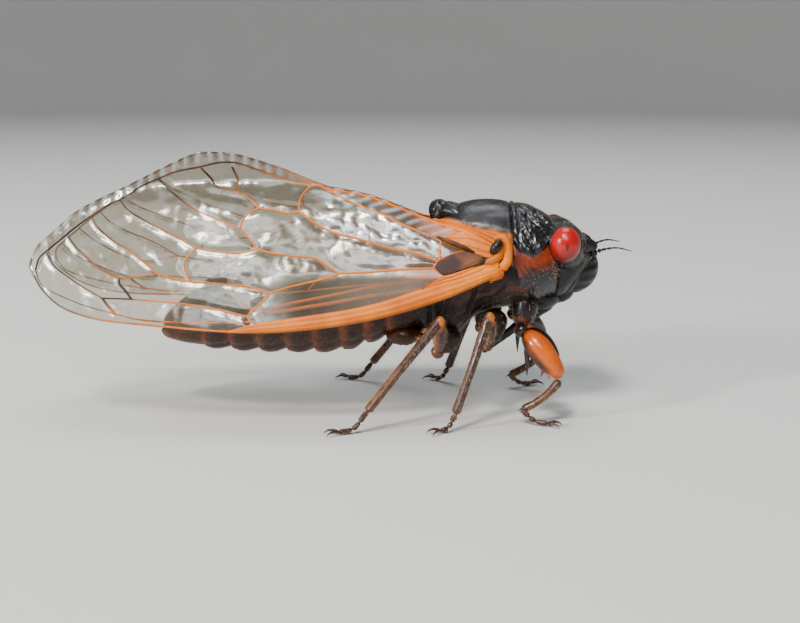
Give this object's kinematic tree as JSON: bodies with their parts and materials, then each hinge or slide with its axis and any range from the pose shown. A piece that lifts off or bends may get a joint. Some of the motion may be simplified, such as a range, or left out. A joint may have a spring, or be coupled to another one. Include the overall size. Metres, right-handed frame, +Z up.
{
  "type": "periodical cicada model",
  "caption": "Life-size still model of an adult periodical cicada: black body, red eyes, orange-veined clear wings folded like a roof, standing on six legs.",
  "frame": {"origin": "middle of the whole insect's bounding box, at the level of the feet", "axes": "+X towards the head, +Y to the insect's own left, +Z up"},
  "size_m": [0.0426, 0.016, 0.0187],
  "materials": {
    "black_shell": "satin",
    "belly": "satin",
    "leg_orange": "glossy",
    "leg_brown": "satin",
    "eye_red": "glossy",
    "wing": "glossy"
  },
  "bodies": {
    "root": {"fore_coxa_right": "belly", "fore_coxa_left": "belly", "fore_femur_right": "leg_orange", "fore_femur_left": "leg_orange", "fore_tibia_right": "leg_brown", "fore_tibia_left": "leg_brown", "fore_tarsus_right": "leg_brown", "fore_tarsus_left": "leg_brown", "mid_coxa_right": "belly", "mid_coxa_left": "belly", "mid_femur_right": "leg_orange", "mid_femur_left": "leg_orange", "mid_tibia_right": "leg_brown", "mid_tibia_left": "leg_brown", "mid_tarsus_right": "leg_brown", "mid_tarsus_left": "leg_brown", "hind_coxa_right": "belly", "hind_coxa_left": "belly", "hind_femur_right": "leg_orange", "hind_femur_left": "leg_orange", "hind_tibia_right": "leg_brown", "hind_tibia_left": "leg_brown", "hind_tarsus_right": "leg_brown", "hind_tarsus_left": "leg_brown", "abdomen_segment_1": "belly", "abdomen_segment_2": "belly", "abdomen_segment_3": "belly", "abdomen_segment_4": "belly", "abdomen_segment_5": "belly", "abdomen_segment_6": "belly", "abdomen_segment_7": "belly", "abdomen_segment_8": "belly", "abdomen_tip": "belly", "mesonotum": "black_shell", "cruciform_elevation": "black_shell", "pronotum": "black_shell", "head": "black_shell", "postclypeus": "black_shell", "rostrum": "black_shell", "mesothorax_underside": "belly", "metathorax": "belly", "prothorax_underside": "belly", "operculum_right": "belly", "operculum_left": "belly", "antenna_right": "black_shell", "antenna_left": "black_shell", "eye_right": "eye_red", "eye_left": "eye_red", "ocellus_middle": "eye_red", "ocellus_right": "eye_red", "ocellus_left": "eye_red", "forewing_right": "wing", "forewing_left": "wing", "hindwing_right": "wing", "hindwing_left": "wing"}
  },
  "joints": []
}
